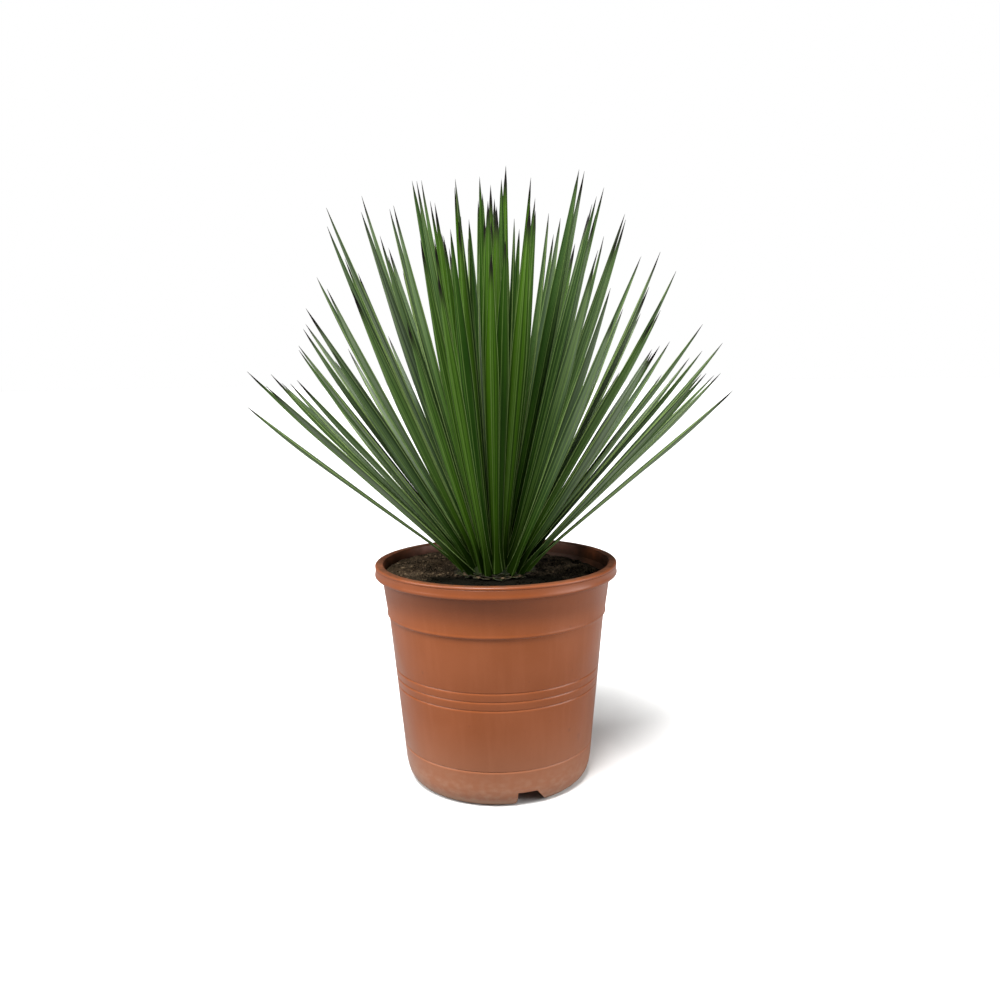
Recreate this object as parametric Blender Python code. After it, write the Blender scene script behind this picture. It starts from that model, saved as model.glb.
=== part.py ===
# A potted yucca: one rosette of stiff sword leaves on a short woody stem, in a
# terracotta coloured plastic nursery pot filled with potting soil.
# Metres, +Z up. The origin is on the floor, under the middle of the pot.

import math
import random

import bmesh
import bpy
from mathutils import Matrix, Vector

# Gap kept between pieces that touch
GAP = 0.0003

# Pot
POT_HEIGHT = 0.218
RIM_RADIUS = 0.120
RIM_INNER_RADIUS = 0.1116
WALL = 0.0024
BAND_TOP_Z = 0.2050
BAND_TOP_RADIUS = 0.1130
SHOULDER_Z = 0.1700
SHOULDER_RADIUS = 0.1084
BODY_TOP_Z = 0.1672
BODY_TOP_RADIUS = 0.1071
BODY_LOW_Z = 0.038
BODY_LOW_RADIUS = 0.0953
HEEL_Z = 0.008
HEEL_RADIUS = 0.0910
FOOT_RADIUS = 0.0830
FOOT_WIDTH = 0.0035
FLOOR_TOP_Z = 0.0185
FLOOR_THICKNESS = 0.0024
FLOOR_EDGE_Z = 0.0225
FLOOR_EDGE_RADIUS = 0.0915
GROOVE_HEIGHTS = (0.0370, 0.0981, 0.1066, 0.1151)
GROOVE_DEPTH = 0.0007
GROOVE_HALF_WIDTH = 0.0008
POT_SIDES = 52

# Three drainage notches in the foot, upright on one side and sloped on the other
NOTCH_COUNT = 3
NOTCH_START_DEG = 10.3
NOTCH_TOP_WIDTH = 0.0185
NOTCH_FOOT_WIDTH = 0.0312
NOTCH_HEIGHT = 0.0148
DRAIN_HOLE_COUNT = 8
DRAIN_HOLE_RING = 0.058
DRAIN_HOLE_RADIUS = 0.005

# Soil
SOIL_LEVEL = 0.2045
SOIL_TILT = 0.0045
SOIL_BUMP = 0.0006
SOIL_LEVEL_RADIUS = 0.040
SOIL_SIDES = 36
SOIL_RINGS = 7

# Stem
STEM_FOOT_Z = 0.150
STEM_RADIUS = 0.022
STEM_TOP_Z = 0.2235
STEM_SIDES = 24

# Dry bases of old leaves, a collar on the stem just above the soil
COLLAR_Z = SOIL_LEVEL + GAP
COLLAR_HEIGHT = 0.0024
COLLAR_RADIUS = 0.0350
STUB_SEED = 8
STUB_COUNT = 24
STUB_LENGTH = 0.0125
STUB_WIDTH = 0.0080
STUB_THICKNESS = 0.0014

# Crown, the packed leaf bases that the blades grow from
CROWN_Z = COLLAR_Z + COLLAR_HEIGHT + GAP
CROWN_RADIUS = 0.0330
CROWN_HEIGHT = 0.0250
CROWN_SIDES = 30

# Leaves
LEAF_SEEDS = (96769, 78049, 43488, 48212, 37971, 95741, 7107, 26690, 42427, 69024, 35324, 47006)
LEAF_COUNT = 144
LEAF_LENGTH_INNER = 0.3530
LEAF_LENGTH_OUTER = 0.2762
# Leaves shorten between these two leans
LONGEST_LEAN_DEG = 19.1
SHORTEST_LEAN_DEG = 39.3
# Leaves at the front and back stand steeper than at the sides, by up to this share of their lean
FRONT_LIFT = 0.45
# Random parts: degrees of turn and lean either way, and shares of length and width
TURN_SPREAD_DEG = 10.9
LEAN_SPREAD_DEG = 2.9
LENGTH_SHARES = (0.885, 1.032)
WIDTH_SHARES = (0.80, 1.10)
LEAF_WIDTH = 0.0114
LEAF_THICKNESS = 0.0016
LEAF_CHANNEL = 0.0010
OUTERMOST_DEG = 50.5
AGE_POWER = 1.50
ROOT_RADIUS = 0.0294
ROOT_Z = 0.2098
ROOT_RISE = 0.0195
GOLDEN_ANGLE = math.pi * (3.0 - math.sqrt(5.0))
# Half width of a blade as a share of its greatest, at shares of its length
BLADE_STATIONS = ((0.0, 1.15), (0.08, 0.62), (0.60, 1.0), (0.82, 0.64), (0.94, 0.28))


def smooth_step(share):
    share = min(1.0, max(0.0, share))
    return share * share * (3.0 - 2.0 * share)


def clear_scene():
    for obj in list(bpy.data.objects):
        bpy.data.objects.remove(obj, do_unlink=True)


def plain_material(name, colour, roughness, metallic=0.0):
    material = bpy.data.materials.new(name)
    material.use_nodes = True
    shader = material.node_tree.nodes["Principled BSDF"]
    shader.inputs["Base Color"].default_value = (*colour, 1.0)
    shader.inputs["Roughness"].default_value = roughness
    shader.inputs["Metallic"].default_value = metallic
    return material


def object_from(name, bm, material=None, smooth_deg=None):
    mesh = bpy.data.meshes.new(name)
    bm.to_mesh(mesh)
    bm.free()
    if material is not None:
        mesh.materials.append(material)
    if smooth_deg is not None:
        mesh.shade_smooth()
        mesh.set_sharp_from_angle(angle=math.radians(smooth_deg))
    obj = bpy.data.objects.new(name, mesh)
    bpy.context.scene.collection.objects.link(obj)
    return obj


def turned(outline, sides):
    # A closed body of revolution from (radius, height) points, bottom to top or round a loop.
    bm = bmesh.new()
    verts = [bm.verts.new((radius, 0.0, height)) for radius, height in outline]
    edges = [bm.edges.new(pair) for pair in zip(verts, verts[1:])]
    if outline[0][0] > 0.0 or outline[-1][0] > 0.0:
        edges.append(bm.edges.new((verts[-1], verts[0])))
    bmesh.ops.spin(
        bm,
        geom=verts + edges,
        cent=(0, 0, 0),
        axis=(0, 0, 1),
        angle=math.tau,
        steps=sides,
        use_merge=True,
    )
    bmesh.ops.remove_doubles(bm, verts=bm.verts, dist=1e-6)
    bmesh.ops.recalc_face_normals(bm, faces=bm.faces)
    return bm


def hide_helper(obj):
    obj.hide_render = True
    obj.display_type = "WIRE"
    return obj


def apply_boolean(obj, operation, helpers, solver="EXACT"):
    # Joins or cuts all helpers in one Boolean, applies it and removes them.
    group = bpy.data.collections.new(obj.name + "_helpers")
    bpy.context.scene.collection.children.link(group)
    for helper in helpers:
        bpy.context.scene.collection.objects.unlink(helper)
        group.objects.link(hide_helper(helper))
    boolean = obj.modifiers.new(operation.lower(), "BOOLEAN")
    boolean.operation = operation
    boolean.operand_type = "COLLECTION"
    boolean.collection = group
    boolean.solver = solver
    graph = bpy.context.evaluated_depsgraph_get()
    joined = bpy.data.meshes.new_from_object(obj.evaluated_get(graph))
    obj.modifiers.remove(boolean)
    obj.data = joined
    for helper in list(group.objects):
        bpy.data.objects.remove(helper, do_unlink=True)
    bpy.data.collections.remove(group)


def wall_radius(height):
    # Outside of the pot's tapered body at this height.
    share = (height - BODY_LOW_Z) / (BODY_TOP_Z - BODY_LOW_Z)
    return BODY_LOW_RADIUS + share * (BODY_TOP_RADIUS - BODY_LOW_RADIUS)


def groove(height):
    radius = wall_radius(height)
    return [
        (radius - 0.00004, height - GROOVE_HALF_WIDTH),
        (radius - GROOVE_DEPTH, height),
        (radius + 0.00004, height + GROOVE_HALF_WIDTH),
    ]


def pot_outline():
    # Up the outside, over the rolled rim, down the inside and back under the floor.
    heel_curve = [(0.0858, 0.0012), (0.0888, 0.0042)]
    outside = [(FOOT_RADIUS, 0.0), *heel_curve, (HEEL_RADIUS, HEEL_Z), (0.0938, 0.020)]
    for height in GROOVE_HEIGHTS:
        outside += groove(height)
    outside += [
        (BODY_TOP_RADIUS, BODY_TOP_Z),
        (SHOULDER_RADIUS + 0.0001, SHOULDER_Z - 0.0014),
        (SHOULDER_RADIUS + 0.0003, SHOULDER_Z),
        (BAND_TOP_RADIUS, BAND_TOP_Z),
    ]
    rim = [
        (RIM_RADIUS - 0.0012, 0.2060),
        (RIM_RADIUS, 0.2076),
        (RIM_RADIUS, 0.2150),
        (RIM_RADIUS - 0.0010, 0.2171),
        (RIM_RADIUS - 0.0030, POT_HEIGHT),
        (RIM_INNER_RADIUS + 0.0012, POT_HEIGHT),
        (RIM_INNER_RADIUS, POT_HEIGHT - 0.0012),
    ]
    inside = [
        (BAND_TOP_RADIUS - WALL, BAND_TOP_Z),
        (SHOULDER_RADIUS - WALL, SHOULDER_Z),
        (BODY_TOP_RADIUS - WALL, BODY_TOP_Z),
        (BODY_LOW_RADIUS - WALL, BODY_LOW_Z),
        (FLOOR_EDGE_RADIUS, FLOOR_EDGE_Z),
        (FLOOR_EDGE_RADIUS - 0.0030, FLOOR_TOP_Z),
        (0.0, FLOOR_TOP_Z),
    ]
    under = [
        (0.0, FLOOR_TOP_Z - FLOOR_THICKNESS),
        (HEEL_RADIUS - WALL, FLOOR_TOP_Z - FLOOR_THICKNESS),
        (HEEL_RADIUS - WALL - 0.0014, HEEL_Z),
        (FOOT_RADIUS - FOOT_WIDTH, 0.0),
    ]
    return outside + rim + inside + under


def notch_cutter(index):
    # A prism through the foot. Its outline lies square to the radius at the notch.
    foot_arc = math.degrees(NOTCH_FOOT_WIDTH / FOOT_RADIUS)
    middle = math.radians(NOTCH_START_DEG + foot_arc / 2 + index * 360.0 / NOTCH_COUNT)
    left = -NOTCH_FOOT_WIDTH / 2
    slope = (NOTCH_FOOT_WIDTH - NOTCH_TOP_WIDTH) / NOTCH_HEIGHT
    below = 0.002
    section = [
        (left, -below),
        (-left + slope * below, -below),
        (left + NOTCH_TOP_WIDTH, NOTCH_HEIGHT),
        (left, NOTCH_HEIGHT),
    ]
    bm = bmesh.new()
    near = [bm.verts.new((x, -0.100, z)) for x, z in section]
    face = bm.faces.new(near)
    pushed = bmesh.ops.extrude_face_region(bm, geom=[face])
    moved = [v for v in pushed["geom"] if isinstance(v, bmesh.types.BMVert)]
    bmesh.ops.translate(bm, verts=moved, vec=(0, 0.030, 0))
    bmesh.ops.recalc_face_normals(bm, faces=bm.faces)
    bmesh.ops.rotate(bm, verts=bm.verts, matrix=Matrix.Rotation(middle, 3, "Z"))
    return object_from(f"notch_cutter_{index}", bm)


def drain_cutter(index):
    bm = bmesh.new()
    place = Vector((0, 0, FLOOR_TOP_Z))
    if index > 0:
        turn = index * math.tau / DRAIN_HOLE_COUNT
        place += Vector((math.cos(turn), math.sin(turn), 0)) * DRAIN_HOLE_RING
    bmesh.ops.create_cone(
        bm,
        cap_ends=True,
        segments=16,
        radius1=DRAIN_HOLE_RADIUS,
        radius2=DRAIN_HOLE_RADIUS,
        depth=0.010,
        matrix=Matrix.Translation(place),
    )
    return object_from(f"drain_cutter_{index}", bm)


def make_pot():
    material = plain_material("terracotta_plastic", (0.29, 0.085, 0.028), 0.5)
    pot = object_from("pot", turned(pot_outline(), POT_SIDES), material, 30)
    cutters = [notch_cutter(i) for i in range(NOTCH_COUNT)]
    cutters += [drain_cutter(i) for i in range(DRAIN_HOLE_COUNT + 1)]
    apply_boolean(pot, "DIFFERENCE", cutters)
    return pot


def soil_height(x, y):
    # Level round the stem. Further out it is bumpy and lies higher on the left than on the right.
    share = (math.hypot(x, y) - SOIL_LEVEL_RADIUS) / (RIM_INNER_RADIUS - SOIL_LEVEL_RADIUS)
    fade = smooth_step(share / 0.6)
    tilt = SOIL_TILT * (0.3 * y - 0.95 * x) / RIM_INNER_RADIUS
    bumps = math.sin(210 * x + 1.3) * math.cos(190 * y - 0.4)
    bumps += 0.6 * math.sin(330 * x - 240 * y + 0.7)
    return SOIL_LEVEL + (tilt + SOIL_BUMP * bumps) * fade


def stem_outline(grow=0.0):
    # Blunt buried foot, slight swelling, tapered tip. The grown outline is the hole for it.
    tip = 1.3 * grow
    return [
        (0.0, STEM_FOOT_Z - grow),
        (0.7 * STEM_RADIUS + grow, STEM_FOOT_Z - grow),
        (STEM_RADIUS + grow, STEM_FOOT_Z + 0.008),
        (1.06 * STEM_RADIUS + grow, STEM_FOOT_Z + 0.030),
        (STEM_RADIUS + grow, CROWN_Z),
        (0.62 * STEM_RADIUS + tip, STEM_TOP_Z - 0.006),
        (0.30 * STEM_RADIUS + tip, STEM_TOP_Z + tip),
        (0.0, STEM_TOP_Z + tip),
    ]


def add_ring(bm, radius, height, sides):
    # One ring of a soil surface. A missing height means that the ring lies on top of the soil.
    ring = []
    for side in range(sides):
        turn = math.tau * side / sides
        x, y = radius * math.cos(turn), radius * math.sin(turn)
        z = soil_height(x, y) if height is None else height
        ring.append(bm.verts.new((x, y, z)))
    return ring


def soil_rows():
    # From the bottom of the stem's hole, up and over the top, and down along the pot's inside.
    gap = 1.3 * GAP
    hole = STEM_RADIUS + gap
    swell = 1.06 * STEM_RADIUS + gap
    share = (SOIL_LEVEL - BODY_TOP_Z) / (BAND_TOP_Z - BODY_TOP_Z)
    edge = BODY_TOP_RADIUS + share * (BAND_TOP_RADIUS - BODY_TOP_RADIUS) - WALL - gap - 0.0016
    rows = [(swell, STEM_FOOT_Z - 2.0 * GAP), (swell, STEM_FOOT_Z + 0.034)]
    rows += [(hole + (edge - hole) * step / SOIL_RINGS, None) for step in range(SOIL_RINGS + 1)]
    rows += [
        (SHOULDER_RADIUS - WALL - gap - 0.0008, SHOULDER_Z),
        (BODY_TOP_RADIUS - WALL - gap - 0.0004, BODY_TOP_Z),
        (BODY_LOW_RADIUS - WALL - gap - 0.0002, BODY_LOW_Z),
        (FLOOR_EDGE_RADIUS - gap - 0.0002, FLOOR_EDGE_Z + gap),
        (FLOOR_EDGE_RADIUS - 0.0030 - gap, FLOOR_TOP_Z + gap),
    ]
    return rows


def make_soil():
    bm = bmesh.new()
    rings = [add_ring(bm, radius, height, SOIL_SIDES) for radius, height in soil_rows()]
    for upper, lower in zip(rings, rings[1:]):
        for side in range(SOIL_SIDES):
            after = (side + 1) % SOIL_SIDES
            bm.faces.new((upper[side], lower[side], lower[after], upper[after]))
    bm.faces.new(rings[0])
    bm.faces.new(rings[-1])
    bmesh.ops.recalc_face_normals(bm, faces=bm.faces)
    material = plain_material("potting_soil", (0.022, 0.014, 0.008), 0.95)
    return object_from("soil", bm, material, 40)


def make_stem():
    material = plain_material("woody_stem", (0.13, 0.085, 0.045), 0.85)
    return object_from("stem", turned(stem_outline(), STEM_SIDES), material, 35)


def blade(name, base, along, across, length, width, thickness, channel, sag, stations):
    # A four-cornered blade: two thin edges, a channelled upper face and a keeled back.
    # The centre line bows by sag, as a share of length, towards the back of the blade.
    upward = along.cross(across).normalized()
    bm = bmesh.new()
    rings = []
    for share, spread in stations:
        bow = upward * (-sag * length * 4.0 * share * (1.0 - share))
        centre = base + along * (length * share) + bow
        half = across * (width / 2 * spread)
        slim = 0.55 + 0.45 * spread
        hollow = upward * (-channel * spread)
        keel = hollow + upward * (-thickness * slim)
        corners = (centre - half, centre + hollow, centre + half, centre + keel)
        rings.append([bm.verts.new(corner) for corner in corners])
    point = bm.verts.new(base + along * length)
    for lower, upper in zip(rings, rings[1:]):
        for corner in range(4):
            after = (corner + 1) % 4
            bm.faces.new((lower[corner], lower[after], upper[after], upper[corner]))
    for corner in range(4):
        bm.faces.new((rings[-1][corner], rings[-1][(corner + 1) % 4], point))
    bm.faces.new((rings[0][3], rings[0][2], rings[0][1], rings[0][0]))
    bmesh.ops.triangulate(bm, faces=bm.faces)
    bmesh.ops.recalc_face_normals(bm, faces=bm.faces)
    return object_from(name, bm)


def make_collar():
    # A thin ring with short, worn stubs that point outwards and a little up.
    inner = STEM_RADIUS + 2.0 * GAP
    outline = [
        (inner, COLLAR_Z),
        (COLLAR_RADIUS - 0.001, COLLAR_Z),
        (COLLAR_RADIUS, COLLAR_Z + 0.5 * COLLAR_HEIGHT),
        (COLLAR_RADIUS - 0.001, COLLAR_Z + COLLAR_HEIGHT),
        (inner, COLLAR_Z + COLLAR_HEIGHT),
    ]
    material = plain_material("dry_leaf_bases", (0.085, 0.068, 0.024), 0.9)
    collar = object_from("old_leaf_bases", turned(outline, CROWN_SIDES), material, 30)
    draw = random.Random(STUB_SEED)
    stubs = []
    for index in range(STUB_COUNT):
        turn = math.tau * (index + draw.uniform(-0.25, 0.25)) / STUB_COUNT
        outward = Vector((math.cos(turn), math.sin(turn), 0))
        across = Vector((-math.sin(turn), math.cos(turn), 0))
        rise = math.radians(draw.uniform(3.0, 22.0))
        along = outward * math.cos(rise) + Vector((0, 0, math.sin(rise)))
        length = STUB_LENGTH * draw.uniform(0.7, 1.05)
        base = outward * (COLLAR_RADIUS - 0.0022)
        base.z = COLLAR_Z + 0.6 * COLLAR_HEIGHT
        width = STUB_WIDTH * draw.uniform(0.7, 1.0)
        stations = ((0.0, 1.0), (0.55, 0.85), (0.9, 0.35))
        name = f"stub_{index}"
        stubs.append(
            blade(name, base, along, across, length, width, STUB_THICKNESS, 0.0, 0.0, stations)
        )
    apply_boolean(collar, "UNION", stubs)
    return collar


def crown_outline():
    # A dome of packed leaf bases over the stem's tip, hollow underneath where the stem sits.
    dome = []
    for step in range(7):
        turn = math.radians(90.0 * step / 6)
        lift = CROWN_HEIGHT * math.sin(turn) ** 1.2
        dome.append((CROWN_RADIUS * math.cos(turn), CROWN_Z + 0.0015 + lift))
    dome[-1] = (0.0, dome[-1][1])
    socket = [p for p in stem_outline(1.5 * GAP) if p[1] >= CROWN_Z]
    socket[0] = (socket[0][0], CROWN_Z)
    return list(reversed(socket)) + [(CROWN_RADIUS - 0.0025, CROWN_Z)] + dome


def leaf_plan():
    # Golden-angle spiral from the youngest, upright leaves to the oldest, outermost ones.
    # Each group of leaves of one age draws its small differences from its own seed.
    draws = [random.Random(seed) for seed in LEAF_SEEDS]
    flattest = math.radians(OUTERMOST_DEG)
    plan = []
    for index in range(LEAF_COUNT):
        draw = draws[index * len(draws) // LEAF_COUNT]
        age = (index + 0.5) / LEAF_COUNT
        lean = math.acos(1.0 - age**AGE_POWER * (1.0 - math.cos(flattest)))
        spread = draw.uniform(-TURN_SPREAD_DEG, TURN_SPREAD_DEG)
        turn = index * GOLDEN_ANGLE + math.radians(spread)
        root = lean / flattest * math.pi / 2
        lean = max(0.0, lean + math.radians(draw.uniform(-LEAN_SPREAD_DEG, LEAN_SPREAD_DEG)))
        lean *= 1.0 - FRONT_LIFT * abs(math.sin(turn)) ** 4
        outward = Vector((math.cos(turn), math.sin(turn), 0))
        base = outward * (ROOT_RADIUS * math.sin(root))
        base.z = ROOT_Z + ROOT_RISE * math.cos(root)
        along = outward * math.sin(lean) + Vector((0, 0, math.cos(lean)))
        across = Vector((-math.sin(turn), math.cos(turn), 0))
        across.rotate(Matrix.Rotation(math.radians(draw.uniform(-18.0, 18.0)), 3, along))
        drop = (math.degrees(lean) - LONGEST_LEAN_DEG) / (SHORTEST_LEAN_DEG - LONGEST_LEAN_DEG)
        ease = smooth_step(drop)
        oldest = smooth_step((math.degrees(lean) - 44.0) / 8.0)
        length = LEAF_LENGTH_INNER + ease * (LEAF_LENGTH_OUTER - LEAF_LENGTH_INNER)
        length *= draw.uniform(*LENGTH_SHARES) + 0.08 * oldest
        width = LEAF_WIDTH * draw.uniform(*WIDTH_SHARES)
        sag = draw.uniform(-0.004, 0.012)
        plan.append((base, along, across, length, width, sag))
    return plan


def make_rosette():
    material = plain_material("yucca_leaf", (0.040, 0.100, 0.010), 0.45)
    crown = object_from("leaf_rosette", turned(crown_outline(), CROWN_SIDES), material, 30)
    blades = []
    for index, (base, along, across, length, width, sag) in enumerate(leaf_plan()):
        name = f"blade_{index}"
        shape = (length, width, LEAF_THICKNESS, LEAF_CHANNEL, sag, BLADE_STATIONS)
        blades.append(blade(name, base, along, across, *shape))
    apply_boolean(crown, "UNION", blades, "MANIFOLD")
    return crown


def build():
    clear_scene()
    make_pot()
    make_soil()
    make_stem()
    make_collar()
    make_rosette()


build()
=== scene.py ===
import math
import random

import bmesh
import bpy
from mathutils import Matrix, Vector
from mathutils.bvhtree import BVHTree


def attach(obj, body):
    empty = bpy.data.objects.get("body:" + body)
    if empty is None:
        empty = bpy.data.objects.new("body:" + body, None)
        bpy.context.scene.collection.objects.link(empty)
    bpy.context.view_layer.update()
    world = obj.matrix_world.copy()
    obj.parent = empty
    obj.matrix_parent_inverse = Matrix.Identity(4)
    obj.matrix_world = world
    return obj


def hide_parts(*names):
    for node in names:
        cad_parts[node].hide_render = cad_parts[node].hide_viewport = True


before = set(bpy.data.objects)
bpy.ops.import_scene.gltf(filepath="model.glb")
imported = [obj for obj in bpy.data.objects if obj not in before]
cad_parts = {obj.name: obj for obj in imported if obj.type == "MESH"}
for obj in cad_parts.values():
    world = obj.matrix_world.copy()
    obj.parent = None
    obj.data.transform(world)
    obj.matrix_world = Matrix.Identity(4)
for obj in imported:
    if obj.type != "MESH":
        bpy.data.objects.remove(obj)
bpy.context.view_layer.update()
print("frame loaded")

# Potted yucca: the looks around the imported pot, soil, stem and rosette. Metres, +Z up.


# Working in Blender by hand: select, edit, name and finish a piece

def clearSelection():
    if bpy.context.object and bpy.context.object.mode != "OBJECT":
        bpy.ops.object.mode_set(mode="OBJECT")
    bpy.ops.object.select_all(action="DESELECT")


def selectOnly(obj):
    # The piece is the only one selected, and the active one
    clearSelection()
    obj.select_set(True)
    bpy.context.view_layer.objects.active = obj


def startEdit(obj):
    selectOnly(obj)
    bpy.ops.object.mode_set(mode="EDIT")


def endEdit():
    bpy.ops.object.mode_set(mode="OBJECT")


def pick(obj, test):
    # Selects the vertices of the piece in edit mode that pass a test of their place
    bpy.ops.mesh.select_mode(type="VERT")
    bpy.ops.mesh.select_all(action="DESELECT")
    mesh = bmesh.from_edit_mesh(obj.data)
    for vertex in mesh.verts:
        if test(vertex):
            vertex.select_set(True)
    mesh.select_flush_mode()
    bmesh.update_edit_mesh(obj.data)


def adjust(thing, **settings):
    for key, value in settings.items():
        setattr(thing, key, value)
    return thing


def applyModifiers(obj):
    selectOnly(obj)
    for modifier in list(obj.modifiers):
        bpy.ops.object.modifier_apply(modifier=modifier.name)


def placeInMesh(obj):
    # The object goes back to the origin, unturned and unscaled, and its place goes into the mesh
    selectOnly(obj)
    bpy.ops.object.transform_apply(location=True, rotation=True, scale=True)


def named(name):
    # Names the shape that was just added and puts its place into the mesh
    obj = bpy.context.active_object
    obj.name = obj.data.name = name
    placeInMesh(obj)
    return obj


def smoothBy(obj, degrees):
    selectOnly(obj)
    bpy.ops.object.shade_smooth_by_angle(angle=math.radians(degrees))


def giveMaterials(obj, *materials):
    obj.data.materials.clear()
    for material in materials:
        obj.data.materials.append(material)


def drawRing(name, profile, sides):
    # A ring drawn out and scaled from point to point of the profile. The piece stays in edit mode
    radius, height = profile[0]
    clearSelection()
    bpy.ops.mesh.primitive_circle_add(vertices=sides, radius=radius, location=(0, 0, height))
    obj = named(name)
    startEdit(obj)
    bpy.ops.mesh.select_all(action="SELECT")
    for nextRadius, nextHeight in profile[1:]:
        rise = (0.0, 0.0, nextHeight - height)
        grow = nextRadius / radius
        bpy.ops.mesh.extrude_region_move(TRANSFORM_OT_translate={"value": rise})
        bpy.ops.transform.resize(value=(grow, grow, 1.0), center_override=(0.0, 0.0, nextHeight))
        radius, height = nextRadius, nextHeight
    return obj


def lathe(name, profile, sides):
    # A turned piece: the ring is drawn out along the profile and both ends are closed
    obj = drawRing(name, profile, sides)
    bpy.ops.mesh.merge(type="CENTER")
    firstRadius, firstHeight = profile[0]
    pick(obj, lambda v: abs(v.co.z - firstHeight) < 1e-5 and v.co.xy.length < firstRadius * 1.01)
    bpy.ops.mesh.merge(type="CENTER")
    bpy.ops.mesh.select_all(action="SELECT")
    bpy.ops.mesh.normals_make_consistent(inside=False)
    endEdit()
    return obj


def scatterCopies(name, sources, places):
    # One object made of many copies. A place is (source number, matrix or function of a point)
    gathered = bmesh.new()
    counts = []
    for which, place in places:
        copy = sources[which].data.copy()
        if isinstance(place, Matrix):
            copy.transform(place)
        else:
            for vertex in copy.vertices:
                vertex.co = place(vertex.co)
        gathered.from_mesh(copy)
        counts.append(len(copy.vertices))
        bpy.data.meshes.remove(copy)
    mesh = bpy.data.meshes.new(name)
    gathered.to_mesh(mesh)
    gathered.free()
    for material in sources[0].data.materials:
        mesh.materials.append(material)
    obj = bpy.data.objects.new(name, mesh)
    bpy.context.scene.collection.objects.link(obj)
    return obj, counts


def paintTone(obj, counts, tones, label):
    # The same number on every vertex of one copy, so that each copy gets its own shade
    attribute = obj.data.attributes.new(label, "FLOAT", "POINT")
    values = [tone for count, tone in zip(counts, tones) for _ in range(count)]
    attribute.data.foreach_set("value", values)


def removeSource(obj):
    mesh = obj.data
    bpy.data.objects.remove(obj, do_unlink=True)
    bpy.data.meshes.remove(mesh)


def smoothStep(share):
    share = min(1.0, max(0.0, share))
    return share * share * (3.0 - 2.0 * share)


# Node trees: short helpers and the effects that several finishes share

def newMaterial(name):
    material = bpy.data.materials.new(name)
    material.use_nodes = True
    return material, material.node_tree


def feed(tree, socket, value):
    if isinstance(value, bpy.types.NodeSocket):
        tree.links.new(value, socket)
    else:
        socket.default_value = value


def feedAll(tree, node, values):
    for label, value in values.items():
        feed(tree, node.inputs[label], value)


def addNode(tree, kind, values=None, **settings):
    node = adjust(tree.nodes.new(kind), **settings)
    feedAll(tree, node, values or {})
    node.location = (-220 * (len(tree.nodes) % 9) - 200, 260 * (len(tree.nodes) // 9) - 300)
    return node


def calculate(tree, operation, *values, clamp=False):
    node = addNode(tree, "ShaderNodeMath", operation=operation, use_clamp=clamp)
    for socket, value in zip(node.inputs, values):
        feed(tree, socket, value)
    return node.outputs[0]


def times(tree, first, second, clamp=False):
    return calculate(tree, "MULTIPLY", first, second, clamp=clamp)


def ramp(tree, value, low, high, fromLow=0.0, toHigh=1.0):
    # Smooth rise from fromLow to toHigh as the value goes from low to high
    values = {"Value": value, "From Min": low, "From Max": high, "To Min": fromLow, "To Max": toHigh}
    return addNode(tree, "ShaderNodeMapRange", values, interpolation_type="SMOOTHSTEP").outputs["Result"]


def mixColour(tree, mask, first, second):
    node = addNode(tree, "ShaderNodeMix", {"Factor": mask}, data_type="RGBA")
    for label, colour in (("A", first), ("B", second)):
        feed(tree, node.inputs[label], (*colour, 1.0) if isinstance(colour, tuple) else colour)
    return node.outputs["Result"]


def layered(tree, finish, first, *layers):
    # Colours of a finish one over the other, as (mask, name) or (mask, name, how strong at most)
    colour = finish[first]
    for mask, name, *share in layers:
        colour = mixColour(tree, times(tree, mask, *share) if share else mask, colour, finish[name])
    return colour


def separate(tree, vector):
    return addNode(tree, "ShaderNodeSeparateXYZ", {"Vector": vector}).outputs


def coordinates(tree, kind):
    return addNode(tree, "ShaderNodeTexCoord").outputs[kind]


def readTone(tree, label):
    return addNode(tree, "ShaderNodeAttribute", attribute_name=label).outputs["Fac"]


def stretch(tree, place, scale):
    return addNode(tree, "ShaderNodeMapping", {"Vector": place, "Scale": scale}).outputs["Vector"]


def lineRelief(tree, height, strength):
    values = {"Height": height, "Strength": strength, "Distance": 0.0004}
    return addNode(tree, "ShaderNodeBump", values).outputs["Normal"]


def dress(material, colour, rough, specular=0.5, **more):
    tree = material.node_tree
    values = {"Base Color": colour, "Roughness": rough, "Specular IOR Level": specular, **more}
    feedAll(tree, tree.nodes["Principled BSDF"], values)
    return material


def newGroup(name, outputs, **inputs):
    # An input given as None is a vector, any other is a number with that default
    group = bpy.data.node_groups.new(name, "ShaderNodeTree")
    for label, default in inputs.items():
        kind = "NodeSocketVector" if default is None else "NodeSocketFloat"
        socket = group.interface.new_socket(name=label, in_out="INPUT", socket_type=kind)
        if default is not None:
            socket.default_value = default
    for label in outputs:
        kind = "NodeSocketVector" if label == "Normal" else "NodeSocketFloat"
        group.interface.new_socket(name=label, in_out="OUTPUT", socket_type=kind)
    return group, group.nodes.new("NodeGroupInput").outputs, group.nodes.new("NodeGroupOutput").inputs


def groupMottle():
    # Soft uneven patches: 0 to 1 over the surface, stretched by the vector that comes in
    group, given, result = newGroup(
        "mottle", ["Mask"], Vector=None, Scale=20.0, Detail=4.0, Low=0.35, High=0.65
    )
    values = {label: given[label] for label in ("Vector", "Scale", "Detail")}
    noise = addNode(group, "ShaderNodeTexNoise", values)
    feed(group, result["Mask"], ramp(group, noise.outputs["Fac"], given["Low"], given["High"]))
    return group


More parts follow.
